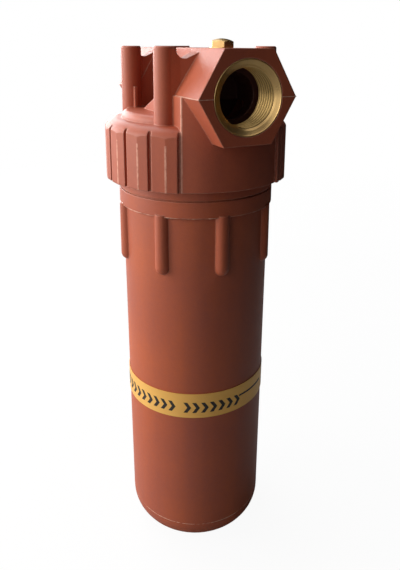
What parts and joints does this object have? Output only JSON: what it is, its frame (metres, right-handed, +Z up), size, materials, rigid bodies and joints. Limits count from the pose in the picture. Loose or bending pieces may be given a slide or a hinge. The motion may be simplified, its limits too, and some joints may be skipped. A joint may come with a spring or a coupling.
{
  "type": "cartridge water filter housing",
  "caption": "Cartridge water filter housing: toothed head with in-line threaded brass ports, bracket bosses and vent screw, over a long screw-on bowl that holds a screen cartridge.",
  "frame": {"origin": "middle of the bowl's foot, on the floor it stands on", "axes": "+Z up along the bowl; the inlet port faces -Y and the outlet port +Y"},
  "size_m": [0.1114, 0.13, 0.3234],
  "materials": {
    "head_plastic": "satin moulded",
    "bowl_plastic": "satin moulded",
    "port_brass": "turned",
    "label_film": "printed film",
    "seal_rubber": "soft",
    "cartridge_plastic": "moulded",
    "screen_steel": "woven mesh"
  },
  "bodies": {
    "head": {"head": "head_plastic", "inlet_insert": "port_brass", "outlet_insert": "port_brass"},
    "cartridge": {"cartridge_core": "cartridge_plastic", "cartridge_screen": "screen_steel", "cartridge_guard": "cartridge_plastic", "cartridge_top_cap": "cartridge_plastic", "cartridge_bottom_cap": "cartridge_plastic", "cartridge_top_gasket": "seal_rubber", "cartridge_bottom_gasket": "seal_rubber"},
    "bowl_ring": {"bowl_seal": "seal_rubber"},
    "bowl": {"bowl": "bowl_plastic", "label_band": "label_film"},
    "vent_ring": {"vent_seal": "seal_rubber"},
    "vent": {"vent_screw": "port_brass"}
  },
  "joints": [
    {"name": "bowl_lower", "type": "slide", "parent": "head", "child": "cartridge", "axis": [0, 0, -1], "range_m": [0, 0.3]},
    {"name": "bowl_back_off", "type": "slide", "parent": "cartridge", "child": "bowl_ring", "axis": [0, 0, -1], "range_m": [0, 0.0175]},
    {"name": "bowl_turn", "type": "hinge", "parent": "bowl_ring", "child": "bowl", "pos_m": [0, 0, 0.15], "axis": [0, 0, -1], "range_deg": [0, 1260]},
    {"name": "vent_back_off", "type": "slide", "parent": "head", "child": "vent_ring", "axis": [0, 0, 1], "range_m": [0, 0.00272]},
    {"name": "vent_turn", "type": "hinge", "parent": "vent_ring", "child": "vent", "pos_m": [0, -0.0336, 0.318], "axis": [0, 0, 1], "range_deg": [0, 1080]}
  ],
  "couplings": [
    {"joint": "bowl_turn", "follows": "bowl_back_off", "rad_per_m": 1256.6},
    {"joint": "vent_turn", "follows": "vent_back_off", "rad_per_m": 6927.4}
  ]
}
